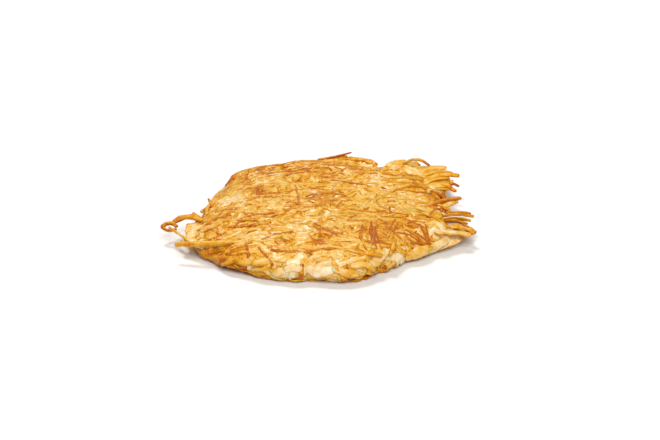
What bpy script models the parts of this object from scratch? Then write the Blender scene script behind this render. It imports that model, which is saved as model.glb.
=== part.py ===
"""Pan-fried shredded hash browns: one pressed patty of potato shreds, flat underneath.

The patty is a low core with a ragged outline. Strips of grated potato are laid over it, along a
flow of their own at each place, and fused to it with one Boolean union. Units are metres, +Z is up,
and the patty rests on the plane Z = 0 with the middle of its box at the origin.
"""

import math
import random

import bmesh
import bpy
from mathutils import Vector

MM = 0.001

# Outline of the core, seen from above: directions in degrees from +X, and how far the rim is that way.
OUTLINE = (
    (0, 79 * MM),
    (15, 80 * MM),
    (27, 88 * MM),
    (38, 94 * MM),
    (50, 95 * MM),
    (56, 94 * MM),
    (61, 82 * MM),
    (68, 83 * MM),
    (78, 85 * MM),
    (90, 81 * MM),
    (120, 81 * MM),
    (133, 79 * MM),
    (150, 73 * MM),
    (165, 72 * MM),
    (180, 73 * MM),
    (192, 77 * MM),
    (205, 83 * MM),
    (220, 81 * MM),
    (238, 79 * MM),
    (270, 77 * MM),
    (285, 78 * MM),
    (300, 74 * MM),
    (315, 72 * MM),
    (328, 76 * MM),
    (342, 84 * MM),
    (352, 81 * MM),
)
CRAGS = ((9, 0.9 * MM, 0.4), (14, 0.7 * MM, 2.1), (23, 0.6 * MM, 4.4))  # waves round, height, phase
HALF_WIDTH = 83 * MM  # of the whole, for what varies from the left end to the right

# Height of the core.
SHOULDER_HEIGHT = 12.5 * MM  # where the top starts, at the rim
CROWN_HEIGHT = 17.2 * MM  # in the middle
SHOULDER_RUN = 0.42  # share of the radius over which the top rises to the crown
TAIL_DROP = 1.8 * MM  # the left end is thinner
SWELL = 0.9 * MM  # unevenness of the top
CORE_SIDES = 52
CORE_RINGS = 12
SIDE_LEAN = 0.075  # how far the sides lean in, as a share of the radius
WIDEST = 0.35  # the core is widest at this share of the shoulder's height

# One shred.
SHRED_WIDTH = 2.9 * MM
SHRED_THICKNESS = 1.9 * MM
SEGMENT = 10 * MM  # a shred gets one cut for each of these
LEAST_CLEARANCE = 0.4 * MM  # between a shred and the plane that the patty rests on
CLEARANCE_STEP = 0.002 * MM  # from each shred to the next

TOP_SHREDS = 140
RIM_SHREDS = 96
FRINGE_SHREDS = 30
GOLDEN_ANGLE = math.radians(137.50776)
MOST_TRIANGLES = 11600  # of the fused solid
SEED = 11

# Shreds that stand out, each by hand: place of its root, heading in degrees, length, bend in degrees,
# height of its middle line at the root and at the tip, and how high it arches between them.
STAND_OUT = (
    ("left_stick", (-44, -46), 178, 41, 0, 12.8, 10.5, 0.0),
    ("left_loop", (-70, -7), 166, 36, 92, 9.0, 8.5, 1.5),
    ("left_arch", (-66, -6), 182, 25, 24, 10.0, 10.0, 2.5),
    ("left_tip", (-66, -10), 140, 18, 0, 10.0, 13.0, 0.0),
    ("back_left_tip", (-58, 6), 128, 18, -10, 11.0, 12.0, 0.5),
    ("back_tip", (-6, 78), 8, 29, 8, 13.0, 15.0, 0.0),
    ("back_loop", (53, 62), 78, 34, -130, 12.0, 12.0, 2.5),
    ("fan_one", (60, 50), 42, 36, -70, 13.0, 12.0, 1.0),
    ("fan_two", (62, 42), 36, 33, -80, 13.0, 11.0, 0.5),
    ("right_bit", (74, 54), -38, 18, -10, 11.5, 9.0, 0.0),
    ("right_prong", (60, -2), 38, 32, -12, 13.5, 14.0, 0.5),
    ("fork_back", (64, 2), -6, 32, 2, 11.5, 10.0, 0.8),
    ("fork_middle", (64, -17), 8, 25, -10, 11.0, 10.0, 0.5),
    ("fork_front", (68, -8), -26, 32, -14, 11.5, 8.0, 1.0),
    ("fork_low", (58, -38), 14, 31, 8, 9.0, 5.0, 1.0),
    ("front_drop", (-11, -63), -86, 14, 0, 13.5, 2.4, 2.0),
    ("front_slant", (-42, -53), -35, 22, -6, 13.8, 5.5, 1.5),
    ("front_leg", (-43, -54), -96, 13, 0, 13.5, 5.5, 1.5),
    ("front_bar", (-31, -60), -9, 34, 6, 13.4, 13.0, 0.6),
    ("right_slant", (1, -65), -30, 20, -8, 13.0, 5.0, 1.5),
    ("right_long", (38, -46), -16, 31, -16, 14.0, 9.0, 1.5),
    ("right_under", (24, -63), 4, 25, 10, 5.5, 4.0, 0.5),
)


def clear_scene():
    for old in list(bpy.data.objects):
        bpy.data.objects.remove(old, do_unlink=True)


def smooth_step(share):
    share = min(max(share, 0.0), 1.0)
    return share * share * (3 - 2 * share)


def outline_radius(angle):
    """Distance from the middle to the core's rim, in the direction angle, in radians."""
    direction = math.degrees(angle) % 360
    for (before, near), (after, far) in zip(OUTLINE, OUTLINE[1:] + ((360, OUTLINE[0][1]),)):
        if before <= direction <= after:
            radius = near + (far - near) * smooth_step((direction - before) / (after - before))
    for waves, height, phase in CRAGS:
        radius += height * math.sin(waves * angle + phase)
    return radius


def side_share(height):
    """How far out the core's side is at a height, as a share of the rim's distance."""
    return 1 - SIDE_LEAN * max(height / SHOULDER_HEIGHT - WIDEST, 0) / (1 - WIDEST)


def top_height(x, y):
    """Height of the core's top over a point. Past the rim it falls away, as a drooping shred does."""
    angle = math.atan2(y, x)
    share = math.hypot(x, y) / outline_radius(angle)
    rise = smooth_step((1 - share) / SHOULDER_RUN)
    height = SHOULDER_HEIGHT + (CROWN_HEIGHT - SHOULDER_HEIGHT) * rise
    height -= TAIL_DROP * smooth_step((-x / HALF_WIDTH - 0.35) / 0.6)
    height += SWELL * math.sin(95 * x + 1.3) * math.cos(80 * y + 0.6)
    fall = smooth_step((share - 0.93) / 0.24)
    return height * (1 - fall) + 2.0 * MM * fall


def flow_heading(x, y):
    """The way that most shreds lie: along X on the left, turning round the rim on the right."""
    around = math.atan2(x, -y)
    along = math.radians(8) - 1.1 * y
    share = smooth_step((x / HALF_WIDTH + 0.2) / 1.3) * 0.6
    return along * (1 - share) + around * share


def make_core():
    """A sphere's rings, spread to the outline: the upper half becomes the top, the lower half the base."""
    bm = bmesh.new()
    bmesh.ops.create_uvsphere(bm, u_segments=CORE_SIDES, v_segments=CORE_RINGS, radius=1.0)
    for vertex in bm.verts:
        x, y, z = vertex.co
        angle = math.atan2(y, x)
        rim = outline_radius(angle)
        share = min(math.hypot(x, y), 1.0)
        if z > 0.01:
            share *= 1 - SIDE_LEAN * (1 - smooth_step((1 - share) / 0.3))
            height = top_height(share * rim * math.cos(angle), share * rim * math.sin(angle))
            height *= 0.94 + 0.06 * smooth_step(z / 0.4)
        elif z > -0.01:
            height = WIDEST * SHOULDER_HEIGHT
        else:
            share *= 0.965
            height = 0.0
        vertex.co = (share * rim * math.cos(angle), share * rim * math.sin(angle), height)
    bmesh.ops.dissolve_limit(
        bm, angle_limit=math.radians(0.5), verts=bm.verts, edges=bm.edges
    )
    bmesh.ops.triangulate(bm, faces=bm.faces)
    mesh = bpy.data.meshes.new("hash_browns")
    bm.to_mesh(mesh)
    bm.free()
    return bpy.data.objects.new("hash_browns", mesh)


def surface_path(middle, heading, length, bend, sink, steps):
    """Points along a shred that lies on the core, the same way both ways from its middle."""
    flat = [Vector((middle[0], middle[1], 0))]
    for way in (1, -1):
        x, y = middle
        points = []
        for step in range(steps // 2):
            turn = heading + way * bend * (step + 0.5) / steps
            x += way * math.cos(turn) * length / steps
            y += way * math.sin(turn) * length / steps
            points.append(Vector((x, y, 0)))
        flat = flat + points if way > 0 else points[::-1] + flat
    for point in flat:
        lowest = SHRED_THICKNESS / 2 + LEAST_CLEARANCE
        point.z = max(top_height(point.x, point.y) - sink, lowest)
    return flat


def free_path(root, heading, length, bend, root_height, tip_height, arch):
    """Points along a shred that stands out of the patty, from its root to its tip."""
    steps = max(3, round(length / (0.6 * SEGMENT)))
    x, y = root
    points = []
    for step in range(steps + 1):
        share = step / steps
        height = root_height + (tip_height - root_height) * share
        height += 4 * arch * share * (1 - share)
        points.append(Vector((x, y, height)))
        turn = heading + bend * (share + 0.5 / steps)
        x += math.cos(turn) * length / steps
        y += math.sin(turn) * length / steps
    return points


def add_shred(collection, name, path, width, thickness, roll=0.0):
    """A long box, cut across and bent along the path, a little thinner at both ends.

    Each shred keeps a clearance of its own from the plane below, so that no two undersides share a plane.
    """
    clearance = LEAST_CLEARANCE + CLEARANCE_STEP * len(collection.objects)
    bm = bmesh.new()
    bmesh.ops.create_cube(bm, size=1.0)
    long_edges = [
        edge for edge in bm.edges if abs(edge.verts[0].co.x - edge.verts[1].co.x) > 0.5
    ]
    last = len(path) - 1
    bmesh.ops.subdivide_edges(bm, edges=long_edges, cuts=last - 1)
    for vertex in bm.verts:
        place = round((vertex.co.x + 0.5) * last)
        ahead = path[min(place + 1, last)] - path[max(place - 1, 0)]
        side = Vector((-ahead.y, ahead.x, 0)).normalized()
        up = ahead.cross(side).normalized()
        across = side * math.cos(roll) + up * math.sin(roll)
        through = up * math.cos(roll) - side * math.sin(roll)
        taper = 0.72 if place in (0, last) else 1.0
        vertex.co = (
            path[place]
            + across * vertex.co.y * width * taper
            + through * vertex.co.z * thickness * taper
        )
        vertex.co.z = max(vertex.co.z, clearance)
    bmesh.ops.triangulate(bm, faces=bm.faces)
    mesh = bpy.data.meshes.new(name)
    bm.to_mesh(mesh)
    bm.free()
    collection.objects.link(bpy.data.objects.new(name, mesh))


def lay_stand_out_shreds(collection):
    for name, root, heading, length, bend, root_height, tip_height, arch in STAND_OUT:
        path = free_path(
            (root[0] * MM, root[1] * MM),
            math.radians(heading),
            length * MM,
            math.radians(bend),
            root_height * MM,
            tip_height * MM,
            arch * MM,
        )
        add_shred(collection, name, path, SHRED_WIDTH, SHRED_THICKNESS)


def lay_top_shreds(collection, draw):
    """Spread evenly by the golden angle, each sunk into the core by half its thickness or less."""
    for number in range(TOP_SHREDS):
        angle = number * GOLDEN_ANGLE
        reach = 0.93 * math.sqrt((number + 0.5) / TOP_SHREDS) * outline_radius(angle)
        middle = (reach * math.cos(angle), reach * math.sin(angle))
        length = draw.uniform(20, 42) * MM
        path = surface_path(
            middle,
            flow_heading(*middle) + math.radians(draw.gauss(0, 32)),
            length,
            math.radians(draw.uniform(-50, 50)),
            draw.uniform(-0.7, 0.35) * MM,
            2 * max(1, round(length / (2 * SEGMENT))),
        )
        add_shred(
            collection,
            f"top_{number}",
            path,
            SHRED_WIDTH * draw.uniform(0.8, 1.15),
            SHRED_THICKNESS * draw.uniform(0.85, 1.15),
        )


def lay_rim_shreds(collection, draw):
    """Shreds that lie along the sides, at any height of them."""
    for number in range(RIM_SHREDS):
        angle = math.tau * (number + draw.uniform(-0.3, 0.3)) / RIM_SHREDS
        height = (1.8 + 10.8 * ((number * 3) % 8 + draw.random()) / 8) * MM
        radius = (side_share(height) - draw.uniform(0.0, 0.02)) * outline_radius(angle)
        middle = (radius * math.cos(angle), radius * math.sin(angle))
        rim_heading = angle + math.pi / 2 + math.radians(draw.gauss(0, 22))
        length = draw.uniform(15, 27) * MM
        path = surface_path(middle, rim_heading, length, length / radius, 0, 4)
        tilt = draw.uniform(-0.25, 0.25)
        for place, point in enumerate(path):
            lowest = SHRED_THICKNESS / 2 + LEAST_CLEARANCE
            level = height + tilt * length * (place / 4 - 0.5)
            point.z = max(min(level, point.z + 0.4 * MM), lowest)
        add_shred(
            collection,
            f"rim_{number}",
            path,
            SHRED_WIDTH * draw.uniform(0.8, 1.1),
            SHRED_THICKNESS,
            roll=math.radians(draw.uniform(20, 65)),
        )


def lay_fringe_shreds(collection, draw):
    """Short shreds whose outer ends leave the rim at a slant and droop."""
    for number in range(FRINGE_SHREDS):
        angle = math.tau * (number + draw.uniform(-0.4, 0.4)) / FRINGE_SHREDS
        height = draw.uniform(4.0, 12.5) * MM
        radius = (side_share(height) - 0.08) * outline_radius(angle)
        slant = draw.choice((-1, 1)) * math.radians(draw.uniform(30, 75))
        path = free_path(
            (radius * math.cos(angle), radius * math.sin(angle)),
            angle + slant,
            draw.uniform(12, 17) * MM,
            slant * draw.uniform(-0.2, 0.8),
            height,
            max(height - draw.uniform(0, 5) * MM, 1.8 * MM),
            draw.uniform(0.0, 1.2) * MM,
        )
        add_shred(
            collection,
            f"fringe_{number}",
            path,
            SHRED_WIDTH * draw.uniform(0.75, 1.0),
            SHRED_THICKNESS,
        )


def evaluated_mesh(thing):
    """A new mesh of the object with its modifiers applied."""
    bpy.context.view_layer.update()
    return bpy.data.meshes.new_from_object(
        thing.evaluated_get(bpy.context.evaluated_depsgraph_get())
    )


def fuse(core, collection):
    """Joins the shreds to the core, and applies it."""
    union = core.modifiers.new("fused", "BOOLEAN")
    union.operation = "UNION"
    union.operand_type = "COLLECTION"
    union.collection = collection
    union.solver = "MANIFOLD"
    core.data = evaluated_mesh(core)
    core.modifiers.clear()
    for shred in list(collection.objects):
        bpy.data.objects.remove(shred, do_unlink=True)
    bpy.data.collections.remove(collection)


def island_of(start, seen):
    """The faces that hang together with this one. An edge where four faces pinch doesn't join them."""
    island, waiting = [], [start]
    seen.add(start)
    while waiting:
        face = waiting.pop()
        island.append(face)
        for edge in face.edges:
            for other in edge.link_faces:
                if len(edge.link_faces) == 2 and other not in seen:
                    seen.add(other)
                    waiting.append(other)
    return island


def keep_one_body(core):
    """Drops scraps that touch nothing and fills hollows that the union sealed: only the outer skin stays."""
    bm = bmesh.new()
    bm.from_mesh(core.data)
    bmesh.ops.triangulate(bm, faces=bm.faces, ngon_method="EAR_CLIP")
    seen, islands = set(), []
    for face in bm.faces:
        if face not in seen:
            islands.append(island_of(face, seen))
    islands.sort(key=len)
    for scrap in islands[:-1]:
        bmesh.ops.delete(bm, geom=scrap, context="FACES")
    bm.to_mesh(core.data)
    bm.free()


def thin_out(core):
    """Merges the slivers that crossing shreds leave, down to the number of triangles wanted."""
    thinner = core.modifiers.new("thinner", "DECIMATE")
    thinner.ratio = MOST_TRIANGLES / len(core.data.polygons)
    core.data = evaluated_mesh(core)
    core.modifiers.clear()


def centre_on_origin(core):
    """Puts the middle of the box over the origin, and leaves the base at Z = 0."""
    for axis in (0, 1):
        places = [vertex.co[axis] for vertex in core.data.vertices]
        middle = (min(places) + max(places)) / 2
        for vertex in core.data.vertices:
            vertex.co[axis] -= middle


def fried_potato():
    material = bpy.data.materials.new("fried_potato")
    material.use_nodes = True
    shader = material.node_tree.nodes["Principled BSDF"]
    shader.inputs["Base Color"].default_value = (0.78, 0.42, 0.10, 1)
    shader.inputs["Roughness"].default_value = 0.45
    shader.inputs["Metallic"].default_value = 0.0
    return material


def main():
    clear_scene()
    draw = random.Random(SEED)
    patty = bpy.data.collections.new("hash_browns_patty")
    shreds = bpy.data.collections.new("shreds")
    for collection in (patty, shreds):
        bpy.context.scene.collection.children.link(collection)
    core = make_core()
    patty.objects.link(core)
    lay_stand_out_shreds(shreds)
    lay_top_shreds(shreds, draw)
    lay_rim_shreds(shreds, draw)
    lay_fringe_shreds(shreds, draw)
    fuse(core, shreds)
    keep_one_body(core)
    thin_out(core)
    keep_one_body(core)
    core.data.name = core.name
    centre_on_origin(core)
    core.data.materials.clear()
    core.data.materials.append(fried_potato())
    core.data.shade_smooth()
    core.data.set_sharp_from_angle(angle=math.radians(35))


main()
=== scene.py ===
# %% [markdown]
# # A patty of hash browns
# Grated potato is heaped on a griddle, pressed and fried until its shreds stick together. This
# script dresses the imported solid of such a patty: it models the fused mat, lays shreds of potato
# over it one by one, and gives each kind its own finish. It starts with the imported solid, which
# fixes the place, the size and the outline of all that follows.

# %% Load the frame
import math

import bpy
import numpy as np
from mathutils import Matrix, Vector


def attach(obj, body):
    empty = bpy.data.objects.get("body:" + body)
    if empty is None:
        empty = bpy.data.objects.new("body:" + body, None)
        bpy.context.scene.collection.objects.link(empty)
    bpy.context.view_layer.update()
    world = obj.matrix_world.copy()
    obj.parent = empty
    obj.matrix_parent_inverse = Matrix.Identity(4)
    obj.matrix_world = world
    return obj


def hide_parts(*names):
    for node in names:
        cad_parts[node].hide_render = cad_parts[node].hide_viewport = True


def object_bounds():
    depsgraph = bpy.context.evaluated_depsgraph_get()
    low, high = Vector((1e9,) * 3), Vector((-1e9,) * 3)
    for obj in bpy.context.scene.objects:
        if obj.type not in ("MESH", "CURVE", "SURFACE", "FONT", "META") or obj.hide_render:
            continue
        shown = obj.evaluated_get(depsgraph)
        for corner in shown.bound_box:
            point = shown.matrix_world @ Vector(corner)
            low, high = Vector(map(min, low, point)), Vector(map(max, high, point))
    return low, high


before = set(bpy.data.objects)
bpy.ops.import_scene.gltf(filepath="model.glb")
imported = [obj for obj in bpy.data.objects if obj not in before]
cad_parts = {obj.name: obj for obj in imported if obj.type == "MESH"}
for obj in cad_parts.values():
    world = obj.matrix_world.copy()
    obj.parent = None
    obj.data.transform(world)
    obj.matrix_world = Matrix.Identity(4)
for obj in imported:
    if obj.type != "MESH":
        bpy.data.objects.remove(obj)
cad_low, cad_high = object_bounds()
MM = 0.001
scene = bpy.context.scene
print("patty of", [round(side / MM, 1) for side in cad_high - cad_low], "mm")

# %% [markdown]
# ## Camera, floor and light
# A plate of food is seen from a chair: about 25 degrees above the table. A long lens at arm's
# length keeps the near side from swelling. The camera's place is counted from the middle of the
# patty's box, so it follows the solid.

# %% Camera
ELEVATION = math.radians(24.5)
LENS = 85
BACK = 882.7 * MM  # from the middle of the patty to the camera, along the table
ASIDE = 7.4 * MM
HEIGHT = 406.4 * MM

middle = (cad_low + cad_high) / 2
camera_data = bpy.data.cameras.new("camera")
camera_data.lens = LENS
camera_data.sensor_width = 36
camera = bpy.data.objects.new("camera", camera_data)
camera.location = (middle.x + ASIDE, middle.y - BACK, cad_low.z + HEIGHT)
camera.rotation_euler = (math.pi / 2 - ELEVATION, 0, 0)
scene.collection.objects.link(camera)
scene.camera = camera
print("camera at", [round(place, 3) for place in camera.location])

# %% [markdown]
# Fried food shines with fat, and its shine shows the shape of the lamps. One wide soft light over
# the camera lights the patty evenly, and a narrower one behind gives the glints along the shreds.
# Both are far away, as suns, so the floor is as light at its edges as under the patty. The world
# around is dim: a bright one would mirror itself in the fat at this low angle, and wash the brown
# out.


# %% Lamps
def soft_lamp(name, toward, spread, strength, colour=(1, 1, 1)):
    """A distant light that comes from this direction. `spread` is how wide it looks."""
    light = bpy.data.lights.new(name, "SUN")
    light.angle = math.radians(spread)
    light.energy = strength
    light.color = colour
    lamp = bpy.data.objects.new(name, light)
    lamp.location = toward
    lamp.rotation_euler = Vector(toward).to_track_quat("Z", "Y").to_euler()
    scene.collection.objects.link(lamp)


soft_lamp("lamp_front", (0.20, -0.75, 0.95), 45, 2.33)
soft_lamp("lamp_behind", (-0.20, 0.55, 0.85), 17, 1.9, (1.0, 0.98, 0.95))

world = bpy.data.worlds.new("studio")
world.use_nodes = True
world.node_tree.nodes["Background"].inputs["Color"].default_value = (1.0, 0.95, 0.87, 1)
world.node_tree.nodes["Background"].inputs["Strength"].default_value = 0.32
scene.world = world
scene.view_settings.view_transform = "Standard"
print("2 soft lights and a dim world")

# %% [markdown]
# The floor is a plain sheet, far larger than the patty. It is stage, not part of the object.

# %% Floor
bpy.ops.object.select_all(action="DESELECT")
bpy.ops.mesh.primitive_plane_add(size=6.0, location=(0, 0, cad_low.z - 0.0002))
floor = bpy.context.object
floor.name = "floor"
floor_paint = bpy.data.materials.new("floor_paint")
floor_paint.use_nodes = True
floor_shader = floor_paint.node_tree.nodes["Principled BSDF"]
floor_shader.inputs["Base Color"].default_value = (0.80, 0.80, 0.80, 1)
floor_shader.inputs["Roughness"].default_value = 0.6
floor.data.materials.append(floor_paint)
print("floor at", round(floor.location.z, 4))

# %% [markdown]
# ## The patty's outline
# The patty's rim wanders in and out as the heap spread on the griddle. It is given by how far the
# rim is in a number of directions, with three small waves on top for the ragged edge. These are
# the solid's own values, but for the back left, where the loose shreds hang up to 2 mm further
# out.

# %% Sizes
# Direction in degrees, anticlockwise from the right, and how far the rim is there, in mm.
OUTLINE = (
    (0, 79), (15, 80), (27, 88), (38, 94), (50, 95), (56, 94), (61, 82), (68, 83), (78, 85),
    (90, 81), (120, 82), (133, 81), (150, 75), (165, 72), (180, 73), (192, 77), (205, 83),
    (220, 81), (238, 79), (270, 77), (285, 78), (300, 74), (315, 72), (328, 76), (342, 84),
    (352, 81), (360, 79),
)
CRAGS = ((9, 0.9 * MM, 0.4), (14, 0.7 * MM, 2.1), (23, 0.6 * MM, 4.4))  # waves round, height, phase
HALF_WIDTH = 83 * MM
SHOULDER_HEIGHT = 12.5 * MM
CROWN_HEIGHT = 17.2 * MM
SHOULDER_RUN = 0.42  # share of the radius over which the top rises to the crown
TAIL_DROP = 1.8 * MM  # the left end is thinner
TAIL_START, TAIL_RUN = 0.35, 0.6  # where it gets so, as shares of the half width
SWELL = 0.9 * MM
SIDE_LEAN = 0.075
OUTLINE_MIDDLE = np.array((-1.2 * MM, 3.0 * MM, 0.0))  # the box's middle, seen from the outline's

DIRECTIONS, REACHES = np.array(OUTLINE, float).T
REACHES = REACHES * MM


def smooth_step(share):
    """Eases from 0 to 1, and stays at 0 before and at 1 after."""
    share = np.clip(share, 0, 1)
    return share * share * (3 - 2 * share)


def rim_radius(angle):
    """How far the rim is, in each direction."""
    direction = np.degrees(angle) % 360
    after = np.clip(np.searchsorted(DIRECTIONS, direction, side="right"), 1, len(REACHES) - 1)
    start, end = DIRECTIONS[after - 1], DIRECTIONS[after]
    share = smooth_step((direction - start) / (end - start))
    radius = REACHES[after - 1] + (REACHES[after] - REACHES[after - 1]) * share
    for waves, height, phase in CRAGS:
        radius = radius + height * np.sin(waves * angle + phase)
    return radius


def top_height(x, y):
    """Height of the patty's top: a low dome, thinner at the left end, a little uneven."""
    share = np.hypot(x, y) / rim_radius(np.arctan2(y, x))
    crown = (CROWN_HEIGHT - SHOULDER_HEIGHT) * smooth_step((1 - share) / SHOULDER_RUN)
    tail = TAIL_DROP * smooth_step((-x / HALF_WIDTH - TAIL_START) / TAIL_RUN)
    height = SHOULDER_HEIGHT + crown - tail
    return height + SWELL * np.sin(95 * x + 1.3) * np.cos(80 * y + 0.6)


print("rim from", round(REACHES.min() / MM), "to", round(REACHES.max() / MM), "mm")

# %% [markdown]
# ## The skin, rolled out flat
# Shreds lie on the top, bend over the shoulder and hang down the side. To lay one by one rule
# wherever it goes, the patty's skin is rolled out flat, like a cloth lifted off a bowl: the middle
# of the cloth is the top, and its border is the side. `skin` rolls it back on, and `skin_normal`
# says which way is out.

# %% Skin
SIDE_LENGTH = 15.5 * MM  # from the shoulder down to the griddle
SHOULDER_ROUND = 2.6 * MM
SHOULDER_INSET = 1.5 * MM
WIDEST = 0.62  # the side is widest this far down it
TUCK = 0.035  # share of the radius by which its foot draws in again


def skin_edge(angle):
    """Where the top ends and the side starts, on the cloth and on the patty alike."""
    return rim_radius(angle) * (1 - SIDE_LEAN) - SHOULDER_INSET


def skin(x, y):
    """Where places on the cloth come to lie on the patty."""
    angle, reach = np.arctan2(y, x), np.hypot(x, y)
    rim, edge = rim_radius(angle), skin_edge(angle)
    past = reach - edge
    over = 0.5 * (past + np.sqrt(past * past + SHOULDER_ROUND**2))
    down = over / SIDE_LENGTH
    inner = reach - over
    height = top_height(inner * np.cos(angle), inner * np.sin(angle))
    out = inner + (rim - edge) * np.sin(0.5 * np.pi * np.clip(down / WIDEST, 0, 1))
    out = out - TUCK * rim * smooth_step((down - WIDEST) / (1 - WIDEST))
    height = height * np.clip(1 - down, 0, 1)
    return np.stack((out * np.cos(angle), out * np.sin(angle), height), axis=-1)


def skin_normal(x, y):
    """The way out of the patty at places on the cloth."""
    step = 0.3 * MM
    along_x = skin(x + step, y) - skin(x - step, y)
    along_y = skin(x, y + step) - skin(x, y - step)
    normal = np.cross(along_x, along_y)
    normal /= np.linalg.norm(normal, axis=-1, keepdims=True)
    normal[..., 2] = np.maximum(normal[..., 2], 0)  # nothing is pushed down into the table
    return normal / np.linalg.norm(normal, axis=-1, keepdims=True)


def cloth_radius(angle):
    """How far the cloth's border is, in each direction."""
    return skin_edge(angle) + SIDE_LENGTH


def how_far_down(x, y):
    """0 on the top, 1 at the foot of the side."""
    return np.clip((np.hypot(x, y) - skin_edge(np.arctan2(y, x))) / SIDE_LENGTH, 0, 1)


def around(angle, radius):
    """The place in this direction, so far from the middle."""
    return radius * math.cos(angle), radius * math.sin(angle)


print("cloth reaches", round(cloth_radius(np.radians(45.0)) / MM, 1), "mm")

# %% [markdown]
# ## Blotches
# Browning comes in blotches: where the patty was pressed hardest on the griddle it is dark, and
# where steam held it off it stays pale. `blotches` gives smooth patches between 0 and 1. Drawing
# random numbers on a coarse grid and blending between them is quicker than noise point by point.


# %% Blotches
BLOTCH_CELLS = 256


def blended(table, u, v, ease=False):
    """A table's values at places between its cells."""
    i, j = np.floor(u).astype(int), np.floor(v).astype(int)
    a, b = u - i, v - j
    if ease:
        a, b = smooth_step(a), smooth_step(b)
    near = table[i, j] * (1 - a) + table[i + 1, j] * a
    far = table[i, j + 1] * (1 - a) + table[i + 1, j + 1] * a
    return near * (1 - b) + far * b


def blotches(x, y, size, seed):
    """Patches of about this size, from 0 to 1, the same each time for the same seed."""
    table = np.random.default_rng(seed).random((BLOTCH_CELLS, BLOTCH_CELLS))
    middle = BLOTCH_CELLS // 2
    return blended(table, np.asarray(x) / size + middle, np.asarray(y) / size + middle, True)


# Places on the cloth that fried darker than the rest, or (below 0) stayed paler: x, y and radius in
# mm, and how much.
SPOTS = (
    (52, -38, 13, 0.20), (38, -50, 7, 0.12), (-39, 18, 8, 0.20), (7, 1, 11, 0.16),
    (31, -42, 9, 0.24), (77, 13, 11, 0.24), (-52, -13, 8, 0.18), (59, 40, 12, 0.12),
    (62, -33, 8, 0.22), (5, -46, 9, 0.14), (-22, -58, 8, 0.14), (45, -24, 9, 0.10),
    (-55, -60, 12, 0.30), (-66, -46, 8, 0.15), (-9, -41, 9, -0.34), (-55, 10, 8, -0.26),
    (-45, -6, 7, -0.22), (-42, -47, 9, -0.20), (42, 76, 7, -0.36), (58, 6, 9, -0.24),
    (47, -48, 9, -0.30), (-11, -56, 7, -0.20), (6, -74, 13, -0.20), (-15, -75, 8, -0.20),
    (46, -60, 10, -0.26), (72, -36, 14, -0.26), (33, 35, 6, -0.20), (-28, 30, 7, -0.14),
)
# The side is paler below the shoulder. Towards its foot it is darkened: painted shade where the side draws
# in under the patty.
SHOULDER_PALER, FOOT_PAINTED_SHADE = 0.10, 0.34


def toasting_and_foot_shade(x, y):
    """How strongly each place on the cloth was fried, around 0.5, with painted shade added towards the
    foot of the side.
    """
    amount = 0.34 + 0.20 * blotches(x, y, 17 * MM, 3) + 0.16 * blotches(x, y, 6 * MM, 4)
    for spot_x, spot_y, radius, strength in SPOTS:
        away = np.hypot(x - spot_x * MM, y - spot_y * MM) / (radius * MM)
        amount = amount + strength * np.exp(-away * away)
    down = how_far_down(x, y)
    amount = amount - SHOULDER_PALER * smooth_step(down / 0.45)
    # Darker towards the foot of the side: painted shade.
    return amount + FOOT_PAINTED_SHADE * smooth_step((down - 0.60) / 0.35)


print("toasting at the middle:", round(toasting_and_foot_shade(0, 0), 2))

# %% [markdown]
# ## The pile
# A map over the rolled-out skin holds how high the potato is piled at each place. A shred that is
# laid comes to rest on what the map says is under it, bends over it, and raises the map in turn.
# This gives a heap whose shreds rest on each other, at a small part of a simulation's time.

# %% Map of the pile
CELL = 0.35 * MM
DEPTH = 3.0 * MM  # of the loose layers over the mat's own base
HALF_MAP = np.array((114.0, 108.0)) * MM
COUNTS = (2 * HALF_MAP / CELL).astype(int)
map_x = -HALF_MAP[0] + CELL * np.arange(COUNTS[0])
map_y = -HALF_MAP[1] + CELL * np.arange(COUNTS[1])


def read_map(field, x, y):
    """The map's value at each place, blended between its cells."""
    u = np.clip((np.asarray(x) + HALF_MAP[0]) / CELL, 0, COUNTS[0] - 1.001)
    v = np.clip((np.asarray(y) + HALF_MAP[1]) / CELL, 0, COUNTS[1] - 1.001)
    return blended(field, u, v)


def raise_map(field, line, level, width, thickness):
    """Raises the map to the rounded back of a shred that lies along the line."""
    low = np.floor((line.min(axis=0) - width + HALF_MAP) / CELL).astype(int)
    high = np.ceil((line.max(axis=0) + width + HALF_MAP) / CELL).astype(int) + 1
    low, high = np.clip(low, 0, COUNTS), np.clip(high, 0, COUNTS)
    x, y = np.meshgrid(map_x[low[0] : high[0]], map_y[low[1] : high[1]], indexing="ij")
    best = np.full(x.shape, np.inf)
    height = np.zeros(x.shape)
    for start in range(len(line) - 1):
        (ax, ay), (bx, by) = line[start], line[start + 1]
        run = (bx - ax) ** 2 + (by - ay) ** 2
        share = np.clip(((x - ax) * (bx - ax) + (y - ay) * (by - ay)) / run, 0, 1)
        away = (x - ax - share * (bx - ax)) ** 2 + (y - ay - share * (by - ay)) ** 2
        nearer = away < best
        best = np.where(nearer, away, best)
        height = np.where(nearer, level[start] + share * (level[start + 1] - level[start]), height)
    round_back = 1 - best / (0.25 * width * width)
    window = field[low[0] : high[0], low[1] : high[1]]
    back = height + 0.5 * thickness * np.sqrt(np.clip(round_back, 0, 1))
    np.copyto(window, np.maximum(window, back), where=round_back > 0)


def blurred(field, size):
    """The map softened over this distance, first along X and then along Y."""
    reach = int(math.ceil(2.5 * size / CELL))
    weights = np.exp(-0.5 * (np.arange(-reach, reach + 1) * CELL / size) ** 2)
    weights /= weights.sum()
    for axis in (0, 1):
        padded = np.pad(field, [(reach, reach) if axis == a else (0, 0) for a in (0, 1)], mode="edge")
        field = sum(
            weight * padded.take(np.arange(shift, shift + field.shape[axis]), axis=axis)
            for shift, weight in enumerate(weights)
        )
    return field


pile = np.zeros(COUNTS)
print("map of", COUNTS[0], "by", COUNTS[1], "cells")

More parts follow.
